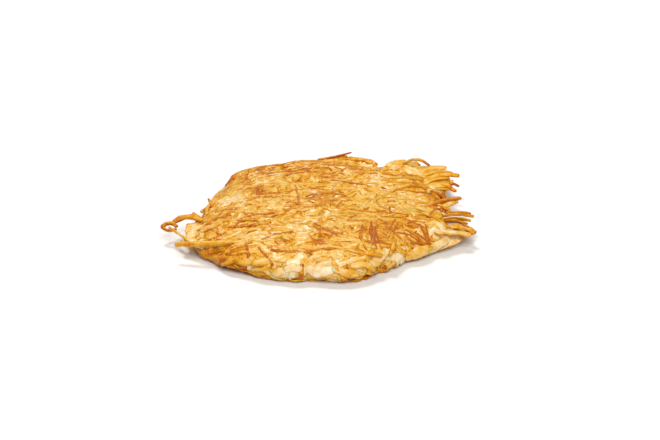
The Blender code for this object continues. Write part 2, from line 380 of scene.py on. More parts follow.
# %% [markdown]
# ## Laying one shred
# A shred starts as a line on the cloth, with a bend and a slight wave. `rest_on` lets it settle: it
# bridges narrow gaps, as it has some stiffness, sinks a little into what is soft, and is pressed
# down where it would stand higher than the griddle let it. The rim behind was pressed least.

# %% Line and rest
draw = np.random.default_rng(7)
FAN_POINT = (-135 * MM, -28 * MM)  # the shreds fan out from beyond the left end
JITTER = 0.16 * MM
SIDE_SLACK = 1.2 * MM  # what hangs down the side was pressed less than the top
REAR_SLACK, REAR_START, REAR_RUN = 1.8 * MM, 60 * MM, 14 * MM  # so was the rim behind
TO_REAR_X, TO_REAR_Y = -0.47, 0.88
STIFFNESS = (0.1, 0.24, 0.32, 0.24, 0.1)  # how a shred evens out its own height, ring by ring


def between(low, high):
    """A random size between these two, which are in mm."""
    return draw.uniform(low, high) * MM


def flow_heading(x, y):
    """The way that most shreds lie at a place."""
    return math.atan2(y - FAN_POINT[1], x - FAN_POINT[0])


def walk(turn, length, steps):
    """Places passed from 0, 0 on when each step goes its own way."""
    moves = np.stack((np.cos(turn), np.sin(turn)), axis=1) * length / steps
    return np.vstack((np.zeros((1, 2)), np.cumsum(moves, axis=0)))


def shred_line(place, heading, length, bend, wave, steps):
    """Places along a shred, the same way both ways from its middle."""
    share = (np.arange(steps) + 0.5) / steps - 0.5
    line = walk(heading + bend * share + wave * np.sin(2 * np.pi * share), length, steps)
    line = line + draw.normal(0, JITTER, line.shape)
    return line - line[steps // 2] + np.asarray(place)


def pressed_limit(line):
    """How high a shred may stand over the skin at each place."""
    x, y = line[:, 0], line[:, 1]
    limit = DEPTH + 0.7 * MM * blotches(x, y, 9 * MM, 8)
    limit = limit + SIDE_SLACK * smooth_step(how_far_down(x, y) / 0.5)
    return limit + REAR_SLACK * smooth_step((TO_REAR_Y * y + TO_REAR_X * x - REAR_START) / REAR_RUN)


def rest_on(field, line, width, thickness, sink, stiff=2):
    """The height of the shred's middle line over the mat's base."""
    ahead = np.gradient(line, axis=0)
    side = np.stack((-ahead[:, 1], ahead[:, 0]), axis=1)
    side /= np.linalg.norm(side, axis=1, keepdims=True) + 1e-12
    under = [read_map(field, *(line + side * width * shift).T) for shift in (-0.35, 0.0, 0.35)]
    level = 0.6 * np.max(under, axis=0) + 0.4 * np.mean(under, axis=0)
    for _ in range(stiff):
        eased = np.convolve(np.pad(level, 2, mode="edge"), STIFFNESS, mode="valid")
        level = np.maximum(eased, 0.5 * (level + eased))
    level = level + thickness / 2 - sink
    limit = pressed_limit(line) - thickness / 2
    return np.where(level > limit, limit + 0.25 * (level - limit), level)


print("flow at the right end:", round(math.degrees(flow_heading(0.08, 0.0)), 1), "degrees")

# %% [markdown]
# ## The mat
# Most of the patty is shreds that have melted into each other. They are pressed into the map as
# ridges and don't need a body each: the mat's own surface, made later from the map, carries them.

# %% Press the fused shreds into the map
FUSED_SHREDS = 1150
FUSED_THICKNESS = 1.3 * MM
SOFTEN = 0.25 * MM
GOLDEN_ANGLE = math.radians(137.50776)


def scattered(count, number, reach=1.0):
    """Spreads places evenly over the cloth, by the golden angle, with a little jitter."""
    angle = number * GOLDEN_ANGLE + draw.normal(0, 0.03)
    border = cloth_radius(angle % math.tau)
    return around(angle, reach * math.sqrt((number + 0.5) / count) * border + draw.normal(0, 1.5 * MM))


def wandering(place, spread):
    """A heading near the flow. On the right of the patty more shreds lie across it."""
    crossing = 0.12 + 0.28 * smooth_step((place[0] / HALF_WIDTH + 0.1) / 0.9)
    if draw.random() < crossing:
        return draw.uniform(0, math.pi)
    return flow_heading(*place) + math.radians(draw.normal(0, spread))


for number in range(FUSED_SHREDS):
    place = scattered(FUSED_SHREDS, number)
    length, width = between(10, 30), between(2.0, 4.2)
    heading, bend, wave = wandering(place, 30), draw.normal(0, 0.9), draw.normal(0, 0.35)
    line = shred_line(place, heading, length, bend, wave, max(6, int(length / (2 * MM))))
    level = rest_on(pile, line, width, FUSED_THICKNESS, between(0.55, 0.95))
    raise_map(pile, line, level, width, FUSED_THICKNESS)
mat = blurred(pile, SOFTEN)
print("fused shreds", round(mat.max() / MM, 2), "mm deep at most")

# %% [markdown]
# ## The body of a shred
# A grater cuts potato into strips that are wider than they are thick, with soft corners, and frying
# dries their tips thin. Each shred is a row of six-cornered rings along its line, closed at both
# ends. Hundreds of them share one mesh, built from arrays: that is quicker to make and to draw than
# hundreds of objects, and the heap stays one piece for each kind.

# %% Shred bodies
CORNERS = 6
CORNER_ACROSS = np.array((1.0, 0.58, -0.58, -1.0, -0.58, 0.58))
CORNER_THROUGH = np.array((0.0, 1.0, 1.0, 0.0, -1.0, -1.0))
TIP_SIZE, NEXT_SIZE = 0.5, 0.85  # a shred tapers over its last two rings
UP = np.array((0.0, 0.0, 1.0))
CEILING = cad_high.z - 0.02 * MM
FLOOR_GAP = cad_low.z + 0.05 * MM
LIFT = 0.6 * MM  # of the pile's full depth over the solid's own core


def on_patty(x, y, level):
    """The place in the room of something that stands this high in the pile."""
    return skin(x, y) + skin_normal(x, y) * (level - DEPTH + LIFT)[..., None] - OUTLINE_MIDDLE


def set_numbers(piece, name, values):
    """Keeps one number for each point of a piece, for its finish to read."""
    attribute = piece.data.attributes.new(name, "FLOAT", "POINT")
    attribute.data.foreach_set("value", np.asarray(values, np.float32))


def unit(vectors):
    """The vectors at length 1."""
    return vectors / (np.linalg.norm(vectors, axis=-1, keepdims=True) + 1e-12)


def new_heap():
    """What is noted of each shred until its kind becomes one mesh."""
    return {"places": [], "rings": [], "browned": [], "shred": [], "edge": []}


def add_body(heap, path, out, width, thickness, roll, browned):
    """Adds one shred along the path. `out` is the way its flat face looks, `browned` a number a ring."""
    count = len(path)
    path = path.copy()
    path[1] = 0.7 * path[0] + 0.3 * path[1]
    path[-2] = 0.7 * path[-1] + 0.3 * path[-2]
    along = unit(np.gradient(path, axis=0))
    across = unit(np.cross(out, along))
    through = np.cross(along, across)
    roll = np.broadcast_to(roll, count)[:, None]
    wide = across * np.cos(roll) + through * np.sin(roll)
    thick = through * np.cos(roll) - across * np.sin(roll)
    size = 1 + 0.10 * draw.normal(0, 1, count)
    size = size + 0.10 * np.cumsum(draw.normal(0, 1, count)) / math.sqrt(count)
    size = np.clip(size, 0.7, 1.35)
    size[[0, -1]] *= TIP_SIZE
    size[[1, -2]] *= NEXT_SIZE
    places = path[:, None] + wide[:, None] * (CORNER_ACROSS[:, None] * width / 2) * size[:, None, None]
    places = places + thick[:, None] * (CORNER_THROUGH[:, None] * thickness / 2) * size[:, None, None]
    places[..., 2] += np.maximum(FLOOR_GAP - places[..., 2].min(axis=1, keepdims=True), 0)
    places[..., 2] = np.minimum(places[..., 2], CEILING)
    heap["places"].append(places.reshape(-1, 3))
    heap["rings"].append(count)
    heap["browned"].append(np.repeat(browned, CORNERS))
    heap["shred"].append(np.full(count * CORNERS, draw.random()))
    heap["edge"].append(np.tile(np.abs(CORNER_ACROSS) ** 3, count))


def make_piece(name, heap):
    """One mesh of all the shreds in the heap."""
    quads, caps, start = [], [], 0
    corner = np.arange(CORNERS)
    for rings in heap["rings"]:
        first = start + CORNERS * np.arange(rings - 1)[:, None] + corner
        after = start + CORNERS * np.arange(rings - 1)[:, None] + (corner + 1) % CORNERS
        quads.append(np.stack((first, after, after + CORNERS, first + CORNERS), axis=-1).reshape(-1, 4))
        caps.append(start + corner[::-1])
        caps.append(start + CORNERS * (rings - 1) + corner)
        start += CORNERS * rings
    faces = np.concatenate(quads).tolist() + np.array(caps).tolist()
    mesh = bpy.data.meshes.new(name)
    mesh.from_pydata(np.concatenate(heap["places"]).tolist(), [], faces)
    mesh.shade_smooth()
    piece = bpy.data.objects.new(name, mesh)
    scene.collection.objects.link(piece)
    for number in ("browned", "shred", "edge"):
        set_numbers(piece, number, np.concatenate(heap[number]))
    triangles = 2 * sum(len(q) for q in quads) + (CORNERS - 2) * len(caps)
    print(f"{name}: {len(heap['rings'])} shreds, {triangles} triangles")


print("shreds lie between", round(FLOOR_GAP / MM, 2), "and", round(CEILING / MM, 2), "mm")

# %% [markdown]
# ## Loose layers
# Over the mat lie the shreds that kept their shape. The lowest are soft and pale, the next golden,
# and the last are thin ones that fried crisp. A shred's tips brown first, and so does what stands
# high in the pile.

# %% Lay the loose shreds
STEP = 2.4 * MM  # between a shred's rings
TIP_BROWNER, HIGH_BROWNER = 0.10, 0.05  # at a shred's tips, and for each mm up the pile


def lay_shred(heap, place, heading, length, bend, wave, width, thickness, sink, tone, stiff=2):
    """Lays one shred on the pile and adds its body. `tone` is how browned its kind is, around 0."""
    steps = max(3, round(length / STEP))
    line = shred_line(place, heading, length, bend, wave, steps)
    level = rest_on(pile, line, width, thickness, sink, stiff)
    raise_map(pile, line, level, width, thickness)
    x, y = line.T
    along = np.linspace(-1, 1, steps + 1)
    browned = toasting_and_foot_shade(x, y) + tone + TIP_BROWNER * np.abs(along) ** 6
    browned = browned + HIGH_BROWNER * (level / MM - 2.4)
    roll = draw.normal(0, 0.16) + draw.normal(0, 0.20) * along
    add_body(heap, on_patty(x, y, level), skin_normal(x, y), width, thickness, roll, browned)


def lay_kind(heap, count, reach, spread, length, bends, width, thickness, sink, tones, widen=0.0):
    """Lays this many shreds of one kind all over the cloth.

    `spread` is how far they stray from the flow, in degrees, and `bends` how much they bend and wave.
    A size is given as the smallest and the largest, in mm, and the tone as its middle and spread.
    Those down the side are wider by up to `widen`.
    """
    for number in range(count):
        place = scattered(count, number, reach)
        wider = widen * how_far_down(*place)
        lay_shred(
            heap,
            place,
            wandering(place, spread),
            between(*length),
            draw.normal(0, bends[0]),
            draw.normal(0, bends[1]),
            (draw.uniform(*width) + wider) * MM,
            between(*thickness),
            between(*sink),
            tones[0] + draw.normal(0, tones[1]),
        )


pile = mat.copy()
soft, golden, crisp = new_heap(), new_heap(), new_heap()
lay_kind(soft, 300, 1.0, 32, (12, 30), (0.9, 0.35), (3.0, 4.8), (1.0, 1.5), (0.5, 1.0), (-0.10, 0.05), 1.0)

ROLLED_SHREDS = 84  # they lie along the rim behind, and make it a rounded roll
for number in range(ROLLED_SHREDS):
    angle = math.radians(draw.uniform(72, 162))
    lay_shred(
        golden,
        around(angle, skin_edge(angle) + between(-3.5, 2.0)),
        angle + math.pi / 2 + math.radians(draw.normal(0, 16)),
        between(14, 26),
        draw.uniform(0.1, 0.5),
        draw.normal(0, 0.3),
        between(2.8, 4.2),
        between(1.4, 2.0),
        between(0.0, 0.4),
        0.02 + draw.normal(0, 0.09),
    )

lay_kind(golden, 360, 0.99, 30, (9, 28), (0.9, 0.35), (2.0, 3.6), (0.9, 1.4), (0.4, 0.9), (-0.02, 0.06))
lay_kind(crisp, 170, 0.93, 34, (7, 24), (1.0, 0.4), (1.0, 2.0), (0.8, 1.3), (0.2, 0.6), (0.17, 0.08))
print(sum(len(heap["rings"]) for heap in (soft, golden, crisp)), "loose shreds")

# %% [markdown]
# Some shreds catch the eye: long ones, thick browned ones, some that lie across the rest. They are
# laid one by one on top of the others: place on the cloth, heading, length, bend, width and tone.

# %% Shreds laid one by one
HAND_THICKNESS = 1.6 * MM
BY_HAND = (
    (-53, -9, -30, 26, -60, 2.8, 0.3), (-44, -32, -8, 30, 4, 2.4, 0.23), (-72, -9, 39, 38, 30, 2.6, 0.16),
    (-31, -16, 20, 38, -40, 2.2, 0.14), (-39, 18, -85, 13, -26, 2.6, 0.34), (-30, 13, 8, 22, 10, 2, 0.29),
    (4, -40, -40, 24, 10, 2.4, 0.28), (0, -42, -75, 18, -10, 2.2, 0.27), (-1, -56, -2, 22, -50, 2.4, 0.16),
    (-28, -49, 24, 16, 12, 2.2, 0.29), (-59, -38, 30, 14, 50, 2.2, 0.27), (-14, 12, -84, 28, -9, 2, 0.24),
    (-1, 21, -22, 32, -40, 2.2, 0.2), (-8, -9, -8, 28, 5, 2, 0.17), (19, 30, -30, 26, -20, 1.8, 0.32),
    (9, 40, -18, 28, -30, 2, 0.11), (30, -41, -90, 24, 6, 1.5, 0.3), (31.2, -44, -84, 26, 0, 1.6, 0.36),
    (32.2, -46, -92, 18, 14, 1.4, 0.22), (33.4, -48, -80, 20, -6, 1.6, 0.34),
    (34.6, -50, -84, 14, 8, 1.4, 0.4), (42, -36, 72, 22, -14, 1.6, 0.28),
    (43.4, -38, 64, 20, -24, 1.6, 0.34), (44.6, -37, 76, 18, -30, 1.6, 0.18),
    (44, -53, 20, 20, -30, 2.8, 0.33), (60, -38, -18, 20, -30, 2.2, 0.33),
    (47, -43, -40, 18, 40, 2.2, 0.3), (46, -45, -34, 16, 30, 1.6, 0.22),
    (55, -41, -18, 22, -10, 2.2, 0.32), (56, -39, -24, 16, 10, 1.6, 0.24), (57, -27, -30, 14, 30, 2, 0.28),
    (62, -33, -72, 16, 20, 2.4, 0.3), (64, -33, -86, 18, -20, 2, 0.34), (39, -53, 4, 24, -10, 2.6, 0.3),
    (38, -51, 8, 14, 10, 1.8, 0.22), (77, 13, 56, 30, -10, 3, 0.36), (71, -4, 66, 22, -6, 2.4, 0.32),
    (54, -4, 6, 30, 12, 2, 0.18), (7, -43, -46, 20, -14, 2, 0.28), (61, 48, -6, 24, -50, 2.4, 0.2),
    (74, 33, 10, 30, -40, 2.4, 0.23), (57, -25, 0, 16, -150, 1.8, 0.24),
    (53, -43, -19, 16, 140, 1.8, 0.26), (-36, 8, 2, 28, -30, 2.2, 0.21), (-23, 48, 14, 34, -35, 2.2, 0.18),
    (19, 59, -22, 38, -45, 2.4, 0.17), (-41, 36, 36, 30, -40, 2.2, 0.2), (32, -14, -8, 28, 20, 2.2, 0.22),
    (23, -18, 58, 28, 20, 2, 0.18), (-11, -77, -95, 13, 0, 4, 0.42), (-32, -64, -56, 17, 0, 2.4, 0.38),
    (-41, -60, -84, 12, 0, 2.8, 0.36), (-19, -64, -8, 20, 0, 2.8, 0.42), (9, -74, -60, 16, -10, 3, 0.26),
    (16, -74, -55, 7, 0, 3.2, 0.4), (46, -51, 8, 18, -30, 3, 0.3), (60, -43, 12, 14, 0, 2.8, 0.4),
    (41, -66, -20, 8, 0, 3.2, 0.4), (-57, -59, -24, 13, 0, 5, 0.5), (-63, -57, -34, 9, 10, 3.6, 0.44),
    (-46, -66, -16, 9, 0, 3, 0.4), (-1, -62, 10, 22, -30, 2.8, 0.3), (-6, -55, 26, 14, 0, 2.4, 0.34),
    (20, -70, 30, 22, 10, 3.4, -0.2), (47, -60, -20, 26, 6, 3.6, -0.24),
)

# Wide soft slices that hang over the rim, paler than the rest.
SLICES = (
    (-66, -52, -34, 24, 10, 7, -0.04), (-48, -60, -20, 22, -10, 7, -0.1),
    (-34, -68, -12, 12, 10, 6, -0.02), (-30, -63, 30, 9, 40, 5, -0.24), (-45, -57, -4, 16, 10, 5, -0.05),
    (-1, -76, -7, 16, 20, 6, -0.23), (-15, -74, 0, 10, -30, 5, -0.12), (-24, -69, -14, 8, 0, 4.5, -0.06),
    (-11, -68, -90, 5, 0, 3.8, -0.15), (34, -63, 50, 17, 10, 6.5, -0.22), (46, -57, 24, 20, 30, 6, -0.13),
    (60, -47, 34, 22, -30, 6, -0.13), (73, -35, 50, 24, 20, 6, -0.13), (80, -20, 72, 22, 20, 5.5, -0.14),
    (14, -77, -10, 16, 30, 5, -0.1), (24, -71, 14, 16, -30, 5, -0.12),
)

by_hand, slices = new_heap(), new_heap()
for heap, table, sink in ((slices, SLICES, 0.5 * MM), (by_hand, BY_HAND, 0.35 * MM)):
    for x, y, heading, length, bend, width, tone in table:
        turns = math.radians(heading), length * MM, math.radians(bend), draw.normal(0, 0.10)
        lay_shred(heap, (x * MM, y * MM), *turns, width * MM, HAND_THICKNESS, sink, tone)
print(len(BY_HAND), "shreds and", len(SLICES), "slices laid by hand")

# %% [markdown]
# ## The mat's surface
# Starch glues the heap: between the loose shreds the mat wells up and closes the small gaps, so
# they look half sunk in it. The mat is one closed body. A grid is added and its border filled for
# the underside, as by hand. Its square is then spread to the cloth's outline, rolled back onto the
# patty and raised by the map. A grid is used and not a disc of rings, as rings crowd together in
# the middle and leave a star in the shine. Each point also notes how browned it is: ridges touched
# the griddle and hollows didn't. Near the foot that number also holds painted shade, and the
# hollows take the edge number, which darkens them a step: painted shade between the fused shreds.

# %% Mat
MAT_CUTS = 296  # grid squares each way
BASE = 0.4 * MM  # the mat's underside is this far over the table: shreds fill the gap
EDGE_HEIGHT = 0.35 * MM  # of the mat's border over its underside
GLUE_REACH, GLUE_DEPTH, GLUE_SLIDE = 0.8 * MM, 0.08 * MM, 0.8 * MM  # it slides off the side
RIDGE_REACH, RIDGE_HEIGHT = 2.2 * MM, 0.4 * MM


def new_grid(name, across, along):
    """A flat grid, and its points' X and Y from -1 to 1."""
    bpy.ops.object.select_all(action="DESELECT")
    bpy.ops.mesh.primitive_grid_add(x_subdivisions=across, y_subdivisions=along, size=2)
    grid = bpy.context.object
    grid.name = grid.data.name = name
    corners = np.empty(len(grid.data.vertices) * 3)
    grid.data.vertices.foreach_get("co", corners)
    return grid, corners.reshape(-1, 3)[:, :2].T


mat_body, (square_x, square_y) = new_grid("fused_mat", MAT_CUTS, MAT_CUTS)
bpy.ops.object.mode_set(mode="EDIT")
bpy.ops.mesh.select_all(action="SELECT")
bpy.ops.mesh.region_to_loop()
bpy.ops.mesh.edge_face_add()
bpy.ops.object.mode_set(mode="OBJECT")

disc_x = square_x * np.sqrt(1 - square_y**2 / 2)
disc_y = square_y * np.sqrt(1 - square_x**2 / 2)
cloth_angle = np.arctan2(disc_y, disc_x)
cloth_reach = np.hypot(disc_x, disc_y) * cloth_radius(cloth_angle)
cloth_x, cloth_y = cloth_reach * np.cos(cloth_angle), cloth_reach * np.sin(cloth_angle)

map_down = how_far_down(*np.meshgrid(map_x, map_y, indexing="ij"))
glue = blurred(pile, GLUE_REACH) - GLUE_DEPTH - GLUE_SLIDE * smooth_step(map_down / 0.3)
glued = blurred(np.maximum(mat, glue), SOFTEN)
mat_level = read_map(glued, cloth_x, cloth_y)
from_border = 1 - np.hypot(disc_x, disc_y)
mat_places = on_patty(cloth_x, cloth_y, mat_level * smooth_step(from_border / 0.035))
mat_places[:, 2] = np.clip(mat_places[:, 2], BASE + EDGE_HEIGHT, CEILING)
mat_places[from_border < 1e-6, 2] = BASE
mat_body.data.vertices.foreach_set("co", mat_places.ravel())

mat_ridge = read_map(glued - blurred(glued, RIDGE_REACH), cloth_x, cloth_y) / RIDGE_HEIGHT
soft_spots = smooth_step((blotches(cloth_x, cloth_y, 4.5 * MM, 5) - 0.56) / 0.2)
oily_spots = smooth_step((blotches(cloth_x, cloth_y, 6 * MM, 8) - 0.56) / 0.2)
browned = toasting_and_foot_shade(cloth_x, cloth_y) - 0.05 + 0.20 * np.clip(mat_ridge, -1.0, 1.5) + 0.20 * oily_spots
browned = browned - 0.30 * soft_spots * (1 - oily_spots)
set_numbers(mat_body, "browned", browned)
set_numbers(mat_body, "shred", 0.35 + 0.3 * blotches(cloth_x, cloth_y, 3 * MM, 12))
# The mat's hollows take the edge number, which darkens them: painted shade between the fused shreds.
set_numbers(mat_body, "edge", np.clip(-mat_ridge, 0, 1) * 0.5)
mat_body.data.shade_smooth()
print("mat:", len(mat_body.data.polygons), "faces")

# %% [markdown]
# ## Strays
# At the rim single shreds leave the patty and stick out over the table. Being thin and dry they are
# browned, most of all at the tip. Those that show most are laid one by one, most of them near the
# solid's own.

# %% Strays laid one by one
# Root, heading, length, bend, height at the root and at the tip, how high it arches between, width,
# thickness and tone.
STAND_OUT = (
    (-47, -49, 177, 39, -6, 13.0, 10.0, 0.2, 3.0, 3.2, 0.06),
    (-72, -11, 147, 19, 73, 10.0, 9.5, 1.8, 3.6, 2.4, 0.24),
    (-78, -39, 118, 24, 14, 9.5, 9.5, -0.5, 3.0, 1.4, -0.12),
    (-87, -19, 91, 14, 183, 9.5, 9.5, 0.5, 2.8, 2.2, 0.28),
    (-87, -21, -149, 11, -94, 9.0, 9.5, -0.8, 2.6, 2.0, 0.30),
    (-72, -9, 140, 10, -15, 9.5, 11.0, 0.2, 2.6, 1.6, 0.14),
    (-64, 0, 113, 18, -6, 11.0, 12.5, -0.2, 2.4, 1.4, 0.26),
    (-2, 75, 8, 23, 7, 15.0, 18.5, -0.2, 2.6, 1.4, 0.24),
    (0, 76, 8, 18, -5, 14.0, 16.2, -0.1, 3.2, 1.6, 0.14),
    (13, 76, 20, 23, -69, 14.5, 14.5, 0.5, 4.5, 1.6, 0.06),
    (18, 74, 31, 22, -95, 14.0, 13.5, 0.8, 4.0, 1.6, 0.00),
    (1, 73, 24, 26, -37, 14.5, 14.8, 0.5, 4.0, 1.6, 0.10),
    (34, 58, 58, 12, -111, 13.5, 13.5, 0.5, 3.0, 1.6, 0.16),
    (54, 69, -17, 18, 22, 14.0, 14.0, 4.6, 2.2, 1.5, 0.12),
    (43, 59, 96, 23, -93, 13.0, 14.5, 0.8, 4.0, 1.6, 0.08),
    (45, 59, 88, 22, -91, 13.0, 14.0, 0.5, 4.0, 1.6, 0.00),
    (64, 46, 68, 27, -85, 13.0, 13.0, 1.0, 4.0, 1.6, 0.12),
    (67, 42, 62, 28, -70, 13.0, 12.5, 0.8, 4.0, 1.6, 0.04),
    (71, 32, 64, 19, -122, 12.0, 10.5, 0.8, 3.0, 1.6, 0.18),
    (81, 41, 57, 10, -131, 11.0, 11.0, 0.5, 2.0, 1.4, 0.40),
    (65, 0, 51, 28, -38, 13.5, 14.0, 0.2, 4.2, 2.2, 0.28),
    (68, -3, 38, 25, 12, 11.5, 12.5, 0.5, 3.8, 1.4, -0.10),
    (75, -10, 34, 21, -40, 13.2, 10.0, 0.2, 5.6, 1.3, 0.02),
    (78, -5, 26, 16, -25, 12.8, 10.4, 0.4, 1.8, 1.2, 0.28),
    (76, -14, 42, 18, -60, 12.8, 9.6, 0.0, 5.6, 1.2, -0.08),
    (77, -17, 57, 15, -95, 12.8, 9.5, 0.0, 4.8, 1.4, 0.12),
    (79, -25, 56, 18, -117, 12.0, 8.0, 0.3, 5.0, 1.5, 0.10),
    (86, -20, 9, 8, -60, 10.8, 8.4, 0.4, 2.4, 1.6, 0.30),
    (70, -35, 55, 24, -76, 12.8, 8.0, -0.2, 6.0, 1.6, -0.12),
)


def free_path(root, heading, length, bend, root_height, tip_height, arch):
    """Places along a shred that stands out of the patty, from its root to its tip, in the room."""
    steps = max(5, round(length / STEP))
    share = np.linspace(0, 1, steps + 1)
    flat = walk(heading + bend * (share[:-1] + 0.5 / steps), length, steps) + root
    height = root_height + (tip_height - root_height) * share + 4 * arch * share * (1 - share)
    return np.column_stack((flat, height)) - OUTLINE_MIDDLE


def add_stray(heap, path, width, thickness, tone, twist=0.35):
    """Adds the body of a shred that stands out, a different brown for each and darkest at its tip."""
    share = np.linspace(0, 1, len(path))
    toast = 0.44 + tone + 0.14 * share**3 + 0.04 * draw.normal(0, 1)
    roll = draw.normal(0, 0.7 * twist) + draw.normal(0, twist) * share
    add_body(heap, path, UP, width, thickness, roll, toast)


def stray_path(x, y, heading, length, bend, *heights):
    """`free_path` with its sizes in mm and its turns in degrees."""
    heading, bend = math.radians(heading), math.radians(bend)
    heights = (height * MM for height in heights)
    return free_path((x * MM, y * MM), heading, length * MM, bend, *heights)


strays = new_heap()
for *course, width, thickness, tone in STAND_OUT:
    add_stray(strays, stray_path(*course), width * MM, thickness * MM, tone)
print(len(strays["rings"]), "strays laid by hand")

# %% [markdown]
# Between them flat soft shreds lie side by side, like fans. Each fan is given by its first and last
# shred (root, heading, length, bend, height at the root and at the tip, and tone) and by how many
# there are.

# %% Fans
FANS = (
    ((44, 62, 80, 18, -90, 13.0, 13.5, 0.00), (60, 56, 70, 20, -90, 13.0, 13.5, 0.00), 5),
    ((62, 48, 70, 23, -80, 13.0, 13.0, 0.04), (71, 32, 45, 17, -60, 12.5, 11.5, -0.02), 7),
)

webs = new_heap()
for first, last, count in FANS:
    first, last = np.array(first), np.array(last)
    for share in np.linspace(0, 1, count):
        x, y, heading, length, bend, root_height, tip_height, tone = first + (last - first) * share
        path = stray_path(
            x + draw.normal(0, 1.0),
            y + draw.normal(0, 1.0),
            heading + draw.normal(0, 5),
            length + draw.normal(0, 2.0),
            bend + draw.normal(0, 12),
            root_height,
            tip_height + draw.normal(0, 0.5),
            draw.uniform(0, 1),
        )
        add_stray(webs, path, between(5.5, 8.5), 1.3 * MM, tone + draw.normal(0, 0.05), 0.1)
print(len(webs["rings"]), "shreds in fans")

# %% [markdown]
# The other strays are drawn at random: some hang over the rim, and a fringe of short ones lines the
# side.

# %% Strays drawn at random
# From and to which direction of the rim, in degrees anticlockwise from the right, listed shreds
# and sheets show, and the share of the random strays that is left out there.
LEFT_CLEAR = (318, 358)
THINNED = ((95, 178, 0.75), (200, 318, 0.85))


def left_out(angle):
    """Whether a random stray is left out at this direction of the rim."""
    turn = math.degrees(angle) % 360
    if LEFT_CLEAR[0] < turn < LEFT_CLEAR[1]:
        return True
    return draw.random() < sum(share for start, end, share in THINNED if start < turn < end)


OVERHANG_SHREDS, OVERHANG_REACH = 96, 3.5 * MM
for number in range(OVERHANG_SHREDS):
    angle = math.tau * (number + draw.uniform(-0.45, 0.45)) / OVERHANG_SHREDS
    if left_out(angle):
        continue
    root = around(angle, draw.uniform(0.84, 0.93) * rim_radius(angle))
    side = draw.choice((-1, 1))
    height = top_height(*root) - between(0.2, 1.8)
    heading = angle + side * math.radians(draw.uniform(35, 75))
    length = between(10, 22)
    bend = side * math.radians(draw.uniform(0, 70))
    path = free_path(root, heading, length, bend, height, height - between(1.0, 6.0), between(0.0, 1.4))
    x, y = (path + OUTLINE_MIDDLE)[:, :2].T
    path = path[np.hypot(x, y) - rim_radius(np.arctan2(y, x)) < OVERHANG_REACH]
    if len(path) > 4:
        width, thickness = between(2.2, 4.2), between(1.3, 1.9)
        add_stray(strays, path, width, thickness, toasting_and_foot_shade(*root) - 0.45 + draw.normal(0.02, 0.1))

FRINGE_SHREDS = 64
for number in range(FRINGE_SHREDS):
    angle = math.tau * (number + draw.uniform(-0.4, 0.4)) / FRINGE_SHREDS
    if left_out(angle):
        continue
    height = between(3.0, 12.0)
    lean = SIDE_LEAN * max(height / SHOULDER_HEIGHT - 0.35, 0) / 0.65
    root = around(angle, (0.92 - lean) * rim_radius(angle))
    slant = draw.choice((-1, 1)) * math.radians(draw.uniform(30, 75))
    length, bend = between(10, 16), slant * draw.uniform(-0.2, 0.8)
    tip_height = max(height - between(0, 5), 1.2 * MM)
    path = free_path(root, angle + slant, length, bend, height, tip_height, between(0.0, 1.0))
    add_stray(strays, path, between(2.2, 3.6), 1.6 * MM, draw.normal(-0.06, 0.12))
print(len(strays["rings"]), "strays in all")

# %% [markdown]
# Where starch has run between the strays it has set into thin limp sheets, like the web between
# fingers. Each is a grid stretched between an inner edge, hidden in the patty, and a ragged outer
# edge, with folds that run outwards and get browner along their crests. Solidify gives it its
# thickness.

# %% Edges of the sheets
# Inner edge and outer edge, clockwise, as x, y and height in mm, and how browned it is.
SHEETS = (
    (
        (
            (74, 2, 11), (74, -10, 11), (71, -19, 11), (68, -27, 11),
            (64, -35, 10), (59, -41, 9), (52, -47, 8),
        ),
        (
            (86, 2, 8.5), (90, -3, 7.5), (91, -12, 7), (90, -22, 6),
            (86, -28, 4), (79, -33, 3), (68, -41, 2.4), (56, -50, 2.4),
        ),
        0.12,
    ),
    (
        (
            (40, 58, 12), (48, 58, 12), (54, 55, 12), (60, 52, 12),
            (66, 46, 12), (68, 40, 12), (68, 34, 11.5), (66, 24, 11),
        ),
        (
            (45, 71, 12), (52, 75, 12.5), (60, 72, 12), (69, 65, 12),
            (80, 60, 12), (86, 54, 11.5), (85, 42, 10.5), (79, 26, 9.5),
        ),
        0.34,
    ),
    (
        ((0, 70, 14), (12, 71, 14), (22, 70, 14), (32, 66, 13.5), (38, 60, 13)),
        ((0, 77, 15), (12, 80, 15.4), (22, 80, 15.2), (32, 77, 14.8), (39, 69, 13.8)),
        0.34,
    ),
    (
        ((-66, -46, 9), (-68, -36, 9), (-70, -24, 9), (-68, -12, 9), (-64, 0, 9)),
        ((-80, -45, 8.5), (-82, -34, 7.5), (-82, -24, 7.5), (-81, -14, 8), (-74, 0, 9)),
        0.26,
    ),
)
print(len(SHEETS), "sheets to stretch")

# %% Limp sheets
SHEET_CUTS = (110, 20)  # grid squares along a sheet's edge and outwards
SHEET_THICKNESS = 1.1 * MM
SHEET_CLEAR = 1.2 * MM  # over the floor's gap
DRAPE, DRAPE_FOLD = 1.3, 1.6  # height over the skin and of the folds there, in mm
OPEN_FOLD = 2.6 * MM


def cover_height(x, y):
    """Height of the patty's skin over each place of the table: 0 outside its rim."""
    angle, reach = np.arctan2(y, x), np.hypot(x, y)
    rim, edge = rim_radius(angle), skin_edge(angle)
    down = WIDEST * np.arcsin(np.clip((reach - edge) / (rim - edge), 0, 1)) * 2 / math.pi
    return np.where(reach < rim, top_height(x, y) * (1 - down), 0)


def along_edge(edge, share):
    """Places at these shares of an edge's length."""
    edge = np.array(edge) * MM
    gaps = np.linalg.norm(np.diff(edge, axis=0), axis=1)
    passed = np.concatenate(([0], np.cumsum(gaps))) / gaps.sum()
    return np.stack([np.interp(share, passed, column) for column in edge.T], axis=-1)


